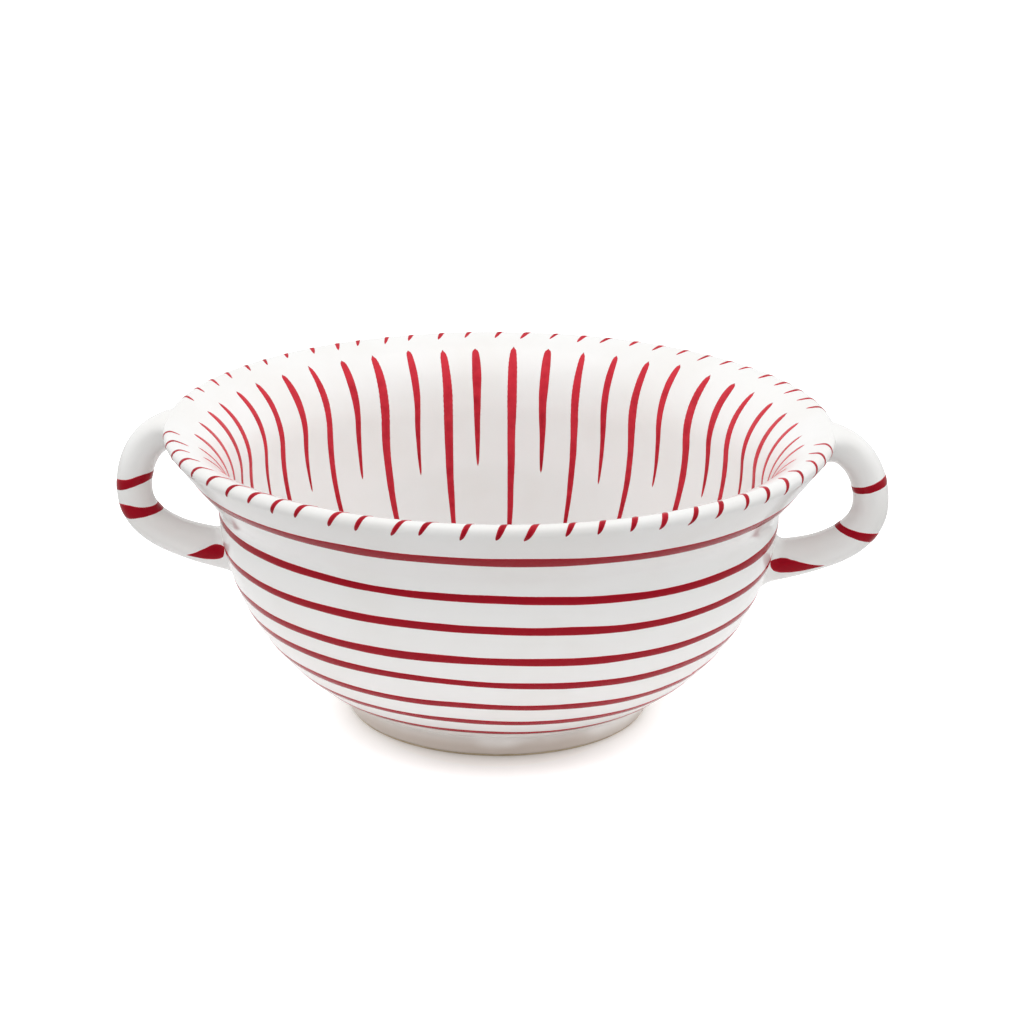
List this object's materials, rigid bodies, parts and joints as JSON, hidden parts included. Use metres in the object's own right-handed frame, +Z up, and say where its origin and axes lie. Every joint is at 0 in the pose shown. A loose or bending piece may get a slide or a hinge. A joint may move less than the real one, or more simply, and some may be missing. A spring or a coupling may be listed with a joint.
{
  "type": "handled serving bowl",
  "caption": "Deep round serving bowl of glazed earthenware with a flared rolled rim, a low foot ring and loop handles joined to the rim and wall, for tossing, serving and carrying food.",
  "frame": {"origin": "on the table, on the bowl's axis, at the middle of the foot ring's underside", "axes": "+X from the left handle to the right handle as seen from the front, +Y towards the back, +Z up along the bowl's axis"},
  "size_m": [0.35, 0.3, 0.1349],
  "materials": {
    "white_glaze": "glossy opaque white tin glaze",
    "red_glaze": "glossy hand-painted crimson glaze colour",
    "bare_clay": "matt unglazed buff earthenware"
  },
  "bodies": {
    "root": {"bowl_body": "white_glaze", "foot_ring": "bare_clay", "right_handle": "white_glaze", "right_rim_slip": "white_glaze", "right_wall_slip": "white_glaze", "left_handle": "white_glaze", "left_rim_slip": "white_glaze", "left_wall_slip": "white_glaze"}
  },
  "joints": []
}
